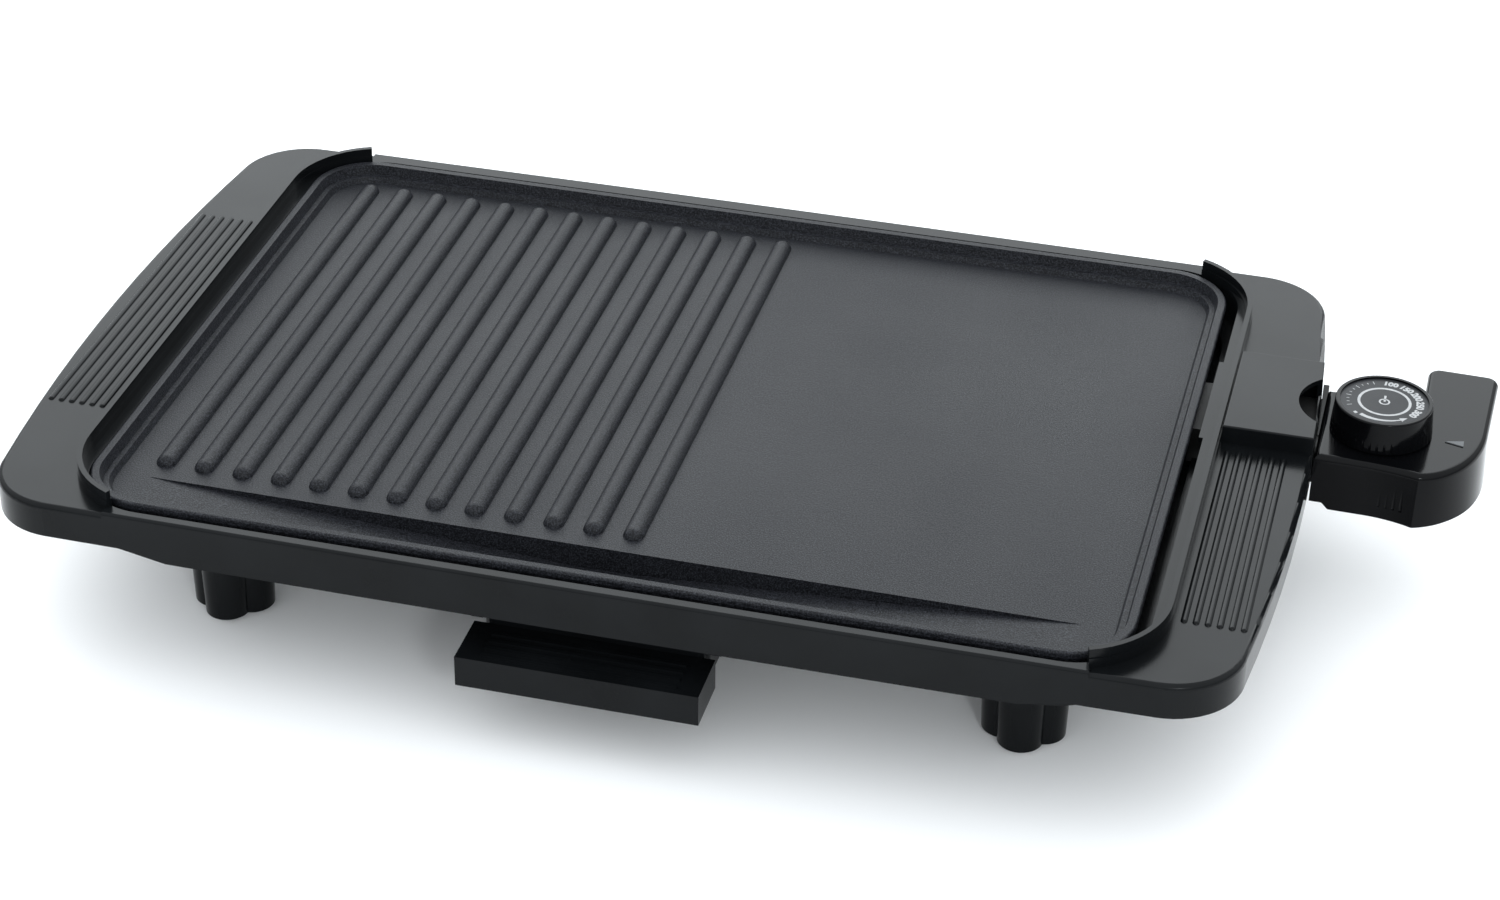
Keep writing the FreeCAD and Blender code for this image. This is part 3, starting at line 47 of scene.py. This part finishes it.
class Shader:
    """A small wrapper that adds nodes to one material."""

    def __init__(self, name):
        self.material = bpy.data.materials.new(name)
        self.material.use_nodes = True
        self.tree = self.material.node_tree
        self.surface = self.tree.nodes["Principled BSDF"]
        self.place = self.tree.nodes.new("ShaderNodeTexCoord").outputs["Object"]

    def node(self, kind, **inputs):
        made = self.tree.nodes.new(kind)
        for key, value in inputs.items():
            self.plug(made.inputs[key.replace("_", " ")], value)
        return made

    def plug(self, socket, value):
        if isinstance(value, bpy.types.NodeSocket):
            self.tree.links.new(value, socket)
        else:
            socket.default_value = value

    def stretched(self, scale):
        mapping = self.node("ShaderNodeMapping", Vector=self.place, Scale=scale)
        return mapping.outputs["Vector"]

    def noise(self, scale, detail=3.0, where=None):
        made = self.node("ShaderNodeTexNoise", Vector=where or self.place, Scale=scale, Detail=detail)
        return made.outputs["Fac"]

    def ramp(self, value, low, high, stops=(0.3, 0.7)):
        """A ramp between two grey levels or two colours. The stops say where it starts and ends."""
        made = self.node("ShaderNodeValToRGB", Fac=value)
        for element, stop, level in zip(made.color_ramp.elements, stops, (low, high)):
            element.position = stop
            element.color = tuple(level) + (1,) if isinstance(level, tuple) else (level, level, level, 1)
        return made.outputs["Color"]

    def bump(self, value, strength, distance, below=None):
        made = self.node("ShaderNodeBump", Height=value, Strength=strength, Distance=distance)
        if below is not None:
            self.plug(made.inputs["Normal"], below)
        return made.outputs["Normal"]

    def finish(self, **sockets):
        for key, value in sockets.items():
            self.plug(self.surface.inputs[key.replace("_", " ")], value)
        return self.material


def scaled(shade, factor):
    return tuple(level * factor for level in shade)


def moulded(name, shade, rough, grain=0.1, gloss_spread=0.06, shine=0.11):
    """Black moulded plastic: a fine texture, faint flow marks and patchy gloss."""
    s = Shader(name)
    dark = scaled(shade, 0.8)
    light = scaled(shade, 1.25)
    colour = s.ramp(s.noise(38.0, 4.0), dark, light)
    patchy = s.ramp(s.noise(22.0, 5.0), rough - gloss_spread, rough + gloss_spread)
    fine = s.bump(s.noise(1900.0, 2.0), grain, 0.0002)
    flow = s.bump(s.noise(7.0, 3.0), 0.03, 0.001, fine)
    return s.finish(Base_Color=colour, Roughness=patchy, Normal=flow, Specular_IOR_Level=shine)


def coated_plate():
    """Non-stick coating: dense pale specks in a dark grey film, with a slight orange peel."""
    s = Shader("coated_plate")
    specks = s.ramp(s.noise(1500.0, 2.0), (0.0045, 0.0048, 0.006), (0.034, 0.036, 0.043), (0.42, 0.72))
    cloud = s.ramp(s.noise(9.0, 4.0), 0.36, 0.45)
    grain = s.bump(s.noise(1500.0, 2.0), 0.6, 0.0004)
    peel = s.bump(s.noise(260.0, 2.0), 0.12, 0.0006, grain)
    return s.finish(Base_Color=specks, Roughness=cloud, Normal=peel, Specular_IOR_Level=0.13)


def metal(name, shade, rough, stretch=(40.0, 900.0, 900.0), stain=None):
    """Sheet or bar metal with fine drawn lines, and optional stains."""
    s = Shader(name)
    lines = s.noise(1.0, 4.0, s.stretched(stretch))
    dark = scaled(shade, 0.82)
    colour = s.ramp(lines, dark, shade)
    if stain is not None:
        mixed = s.node("ShaderNodeMixRGB", Fac=s.ramp(s.noise(25.0, 5.0), 0.0, 0.7), Color1=colour,
                       Color2=stain + (1,))
        colour = mixed.outputs["Color"]
    patchy = s.ramp(s.noise(60.0, 4.0), rough - 0.07, rough + 0.09)
    return s.finish(Base_Color=colour, Roughness=patchy, Metallic=1.0,
                    Normal=s.bump(lines, 0.06, 0.0003))


def ceramic():
    """Dark grey half-glazed ceramic."""
    s = Shader("ceramic")
    colour = s.ramp(s.noise(180.0, 3.0), (0.05, 0.048, 0.045), (0.085, 0.082, 0.078))
    rough = s.ramp(s.noise(120.0, 2.0), 0.2, 0.34)
    return s.finish(Base_Color=colour, Roughness=rough, Normal=s.bump(s.noise(500.0), 0.08, 0.0003))


def rubber(name):
    """Matt rubber with a fine grain."""
    s = Shader(name)
    colour = s.ramp(s.noise(300.0, 3.0), (0.016, 0.016, 0.016), (0.034, 0.034, 0.033))
    rough = s.ramp(s.noise(90.0, 3.0), 0.62, 0.8)
    return s.finish(Base_Color=colour, Roughness=rough, Normal=s.bump(s.noise(1400.0), 0.2, 0.0003))


SURFACES = {
    "black_moulding": moulded("black_moulding", (0.004, 0.0046, 0.0052), 0.2),
    "controller_moulding": moulded("controller_moulding", (0.0015, 0.0016, 0.002), 0.11, 0.03, 0.03, 0.1),
    "coated_cast_plate": coated_plate(),
    "element_sheath": metal("element_sheath", (0.2, 0.19, 0.17), 0.5, stain=(0.1, 0.06, 0.035)),
    "contact_metal": metal("contact_metal", (0.62, 0.62, 0.6), 0.3),
    "brass_sleeve": metal("brass_sleeve", (0.76, 0.58, 0.28), 0.32),
    "ceramic": ceramic(),
    "bright_sheet": metal("bright_sheet", (0.74, 0.74, 0.76), 0.34, (20.0, 700.0, 700.0)),
    "steel": metal("steel", (0.52, 0.52, 0.5), 0.36),
    "screw_steel": metal("screw_steel", (0.6, 0.6, 0.57), 0.3, (400.0, 400.0, 400.0)),
    "heat_proof_plastic": moulded("heat_proof_plastic", (0.016, 0.016, 0.016), 0.5, 0.2),
    "pad_rubber": rubber("pad_rubber"),
    "pointer_paint": moulded("pointer_paint", (0.1, 0.105, 0.11), 0.4, 0.05),
    "dial_print": moulded("dial_print", (0.02, 0.021, 0.023), 0.38, 0.1),
}

for entry in frame["record"]["subparts"]:
    mesh = NODES[entry["node"]].data
    mesh.materials.clear()
    mesh.materials.append(SURFACES[entry["material_slot"]])


SMOOTH_BELOW = math.radians(28)

for obj in NODES.values():
    obj.data.shade_smooth()
    obj.data.set_sharp_from_angle(angle=SMOOTH_BELOW)

# ---------------------------------------------------------------- print on the dial

MM = 0.001


def new_piece(name, mesh, body, surface):
    """A mesh object that rides on a body and wears the surface it is given."""
    obj = bpy.data.objects.new(name, mesh)
    bpy.context.scene.collection.objects.link(obj)
    mesh.materials.clear()
    mesh.materials.append(surface)
    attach(obj, body)
    return obj


def polar(radius, degrees):
    angle = math.radians(degrees)
    return radius * math.cos(angle), radius * math.sin(angle)


def band(out, radius, start, end, width_start, width_end, steps=48):
    """A flat arc about the origin that may taper. Angles are in degrees and lengths in millimetres."""
    rows = []
    for step in range(steps + 1):
        part = step / steps
        angle = start + (end - start) * part
        half = (width_start + (width_end - width_start) * part) / 2
        rows.append([out.verts.new((*polar((radius + side * half) * MM, angle), 0)) for side in (-1, 1)])
    for first, second in zip(rows, rows[1:]):
        out.faces.new((first[0], first[1], second[1], second[0]))


def numeral(out, word, height, weight, radius, degrees):
    """Flat numerals whose feet point at the middle of the dial."""
    curve = bpy.data.curves.new("numeral", "FONT")
    curve.body, curve.size, curve.offset = word, height * MM, weight * MM
    curve.align_x, curve.align_y = "CENTER", "CENTER"
    holder = bpy.data.objects.new("numeral", curve)
    bpy.context.scene.collection.objects.link(holder)
    graph = bpy.context.evaluated_depsgraph_get()
    mesh = bpy.data.meshes.new_from_object(holder.evaluated_get(graph))
    bpy.data.objects.remove(holder)
    place = Matrix.Translation((*polar(radius * MM, degrees), 0)) @ Matrix.Rotation(
        math.radians(degrees - 90), 4, "Z")
    mesh.transform(place)
    out.from_mesh(mesh)
    bpy.data.meshes.remove(mesh)


# The dial's print, in millimetres and degrees about the middle of the disc.
RING_RADIUS, RING_WIDTH = 11.6, 1.3
ARROW_RADIUS, ARROW_START, ARROW_END, ARROW_HEAD = 16.3, -126, -58, 13
ARROW_WIDTHS, ARROW_HEAD_HALF = (2.1, 0.8), 1.5
TICK_RADIUS, TICK_FIRST, TICK_STEP, TICK_WIDE, TICK_COUNT = 16.6, 112, 10, 1.2, 10
TICK_LONG, TICK_SHORT = 2.4, 1.3
OFF_RADIUS, OFF_START, OFF_END, OFF_WIDTH = 17.2, -137, -131, 1.5
HEATS = (("100", 85), ("150", 57), ("200", 30), ("250", 3), ("300", -25))
NUMERAL_RADIUS, NUMERAL_HEIGHT, NUMERAL_WEIGHT = 16.0, 4.6, 0.24
BULB_RADIUS, BULB_WIDTH, STEM_HALF, STEM_LOW, STEM_HIGH = 2.2, 0.8, 0.5, 0.2, 5.4
PRINT_RAISED = 0.06


def dial_arrow(out):
    """A tapered arc with a triangular head."""
    band(out, ARROW_RADIUS, ARROW_START, ARROW_END, *ARROW_WIDTHS)
    head = ((ARROW_RADIUS - ARROW_HEAD_HALF, ARROW_END), (ARROW_RADIUS + ARROW_HEAD_HALF, ARROW_END),
            (ARROW_RADIUS, ARROW_END + ARROW_HEAD))
    out.faces.new([out.verts.new((*polar(radius * MM, angle), 0)) for radius, angle in head])


def dial_ticks(out):
    """Short ticks, with a longer one at every third place."""
    for index in range(TICK_COUNT):
        tall = TICK_LONG if index % 3 == 0 else TICK_SHORT
        start = TICK_FIRST + index * TICK_STEP
        band(out, TICK_RADIUS, start, start + TICK_WIDE, tall, tall, 2)


def thermometer(out):
    """A small ring with a stem."""
    band(out, BULB_RADIUS, 0, 360, BULB_WIDTH, BULB_WIDTH, 24)
    stem = ((-STEM_HALF, STEM_LOW), (STEM_HALF, STEM_LOW), (STEM_HALF, STEM_HIGH), (-STEM_HALF, STEM_HIGH))
    out.faces.new([out.verts.new((x * MM, y * MM, 0)) for x, y in stem])


def dial_marks():
    """A ring, five heat settings, a tapered arrow, ticks, an off mark and a small thermometer sign."""
    out = bmesh.new()
    band(out, RING_RADIUS, 0, 360, RING_WIDTH, RING_WIDTH, 72)
    dial_arrow(out)
    dial_ticks(out)
    band(out, OFF_RADIUS, OFF_START, OFF_END, OFF_WIDTH, OFF_WIDTH, 4)
    for word, angle in HEATS:
        numeral(out, word, NUMERAL_HEIGHT, NUMERAL_WEIGHT, NUMERAL_RADIUS, angle)
    thermometer(out)
    low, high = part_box("dial_disc")
    bmesh.ops.translate(out, verts=out.verts,
                        vec=((low.x + high.x) / 2, (low.y + high.y) / 2, high.z + PRINT_RAISED * MM))
    for face in out.faces:
        face.normal_update()
        if face.normal.z < 0:
            face.normal_flip()
    mesh = bpy.data.meshes.new("dial_marks")
    out.to_mesh(mesh)
    return mesh


def ink():
    """Pale grey print with a slightly uneven tone."""
    s = Shader("dial_ink")
    colour = s.ramp(s.noise(700.0, 3.0), (0.26, 0.265, 0.27), (0.34, 0.345, 0.35))
    return s.finish(Base_Color=colour, Roughness=s.ramp(s.noise(300.0), 0.4, 0.55),
                    Normal=s.bump(s.noise(1600.0), 0.1, 0.0002))


new_piece("dial_marks", dial_marks(), "knob", ink())

# ---------------------------------------------------------------- floor, light and camera

floor_mesh = bpy.data.meshes.new("floor")
REACH = 30.0
floor_mesh.from_pydata([(-REACH, -REACH, 0), (REACH, -REACH, 0), (REACH, REACH, 0), (-REACH, REACH, 0)],
                       [], [(0, 1, 2, 3)])
floor = bpy.data.objects.new("floor", floor_mesh)
bpy.context.scene.collection.objects.link(floor)
paper = Shader("paper")
floor_mesh.materials.append(paper.finish(
    Base_Color=paper.ramp(paper.noise(3.0), (0.93, 0.93, 0.93), (0.96, 0.96, 0.96)), Roughness=0.8))

# The surroundings are paler overhead than at the horizon.
SKY_TINT = (0.94, 0.98, 1.01)
HORIZON_GREY, OVERHEAD_GREY, OVERHEAD_FROM = 0.3, 1.0, 0.55
SKY_STRENGTH = 1.8


def studio_sky():
    world = bpy.data.worlds.new("studio")
    world.use_nodes = True
    tree = world.node_tree
    height = tree.nodes.new("ShaderNodeSeparateXYZ")
    fade = tree.nodes.new("ShaderNodeValToRGB")
    greys = ((0.0, HORIZON_GREY), (OVERHEAD_FROM, OVERHEAD_GREY))
    for stop, (position, grey) in zip(fade.color_ramp.elements, greys):
        stop.position = position
        stop.color = scaled(SKY_TINT, grey) + (1,)
    tree.links.new(tree.nodes.new("ShaderNodeTexCoord").outputs["Generated"], height.inputs["Vector"])
    tree.links.new(height.outputs["Z"], fade.inputs["Fac"])
    tree.links.new(fade.outputs["Color"], tree.nodes["Background"].inputs["Color"])
    tree.nodes["Background"].inputs["Strength"].default_value = SKY_STRENGTH
    return world


bpy.context.scene.world = studio_sky()
bpy.context.scene.view_settings.view_transform = "Standard"


BOX_TINT = (0.93, 0.98, 1.0)
BOX_AIM = Vector((0, 0, 0.08))


def softbox(name, place, width, height, power):
    """A rectangular light that faces the object."""
    light = bpy.data.lights.new(name, "AREA")
    light.shape = "RECTANGLE"
    light.size, light.size_y, light.energy = width, height, power
    light.color = BOX_TINT
    lamp = bpy.data.objects.new(name, light)
    lamp.location = place
    lamp.rotation_euler = (BOX_AIM - Vector(place)).to_track_quat("-Z", "Y").to_euler()
    bpy.context.scene.collection.objects.link(lamp)


softbox("back_box", (-0.6, 2.6, 1.75), 3.6, 2.1, 60)
softbox("front_box", (1.3, -2.4, 1.5), 0.35, 0.25, 12)

# The camera stands 33 degrees above the table and 14 degrees to the right of straight ahead.
AZIMUTH, ELEVATION, ROLL = math.radians(14.11), math.radians(32.69), math.radians(0.84)
CAMERA_PLACE = (0.3142, -1.2832, 0.9046)
FOCAL_LENGTH, SENSOR_WIDTH, FAR_CLIP = 80.49, 36.0, 100.0


def camera_axes():
    """The camera's right, up and backward directions as the columns of a matrix."""
    back = Vector((math.sin(AZIMUTH) * math.cos(ELEVATION), -math.cos(AZIMUTH) * math.cos(ELEVATION),
                   math.sin(ELEVATION)))
    level = Vector((0, 0, 1)).cross(back).normalized()
    rise = back.cross(level)
    right = math.cos(ROLL) * level + math.sin(ROLL) * rise
    up = -math.sin(ROLL) * level + math.cos(ROLL) * rise
    return Matrix(((right.x, up.x, back.x), (right.y, up.y, back.y), (right.z, up.z, back.z)))


lens = bpy.data.cameras.new("camera")
lens.sensor_width = SENSOR_WIDTH
lens.lens = FOCAL_LENGTH
lens.clip_end = FAR_CLIP
camera = bpy.data.objects.new("camera", lens)
camera.matrix_world = Matrix.Translation(CAMERA_PLACE) @ camera_axes().to_4x4()
bpy.context.scene.collection.objects.link(camera)
bpy.context.scene.camera = camera
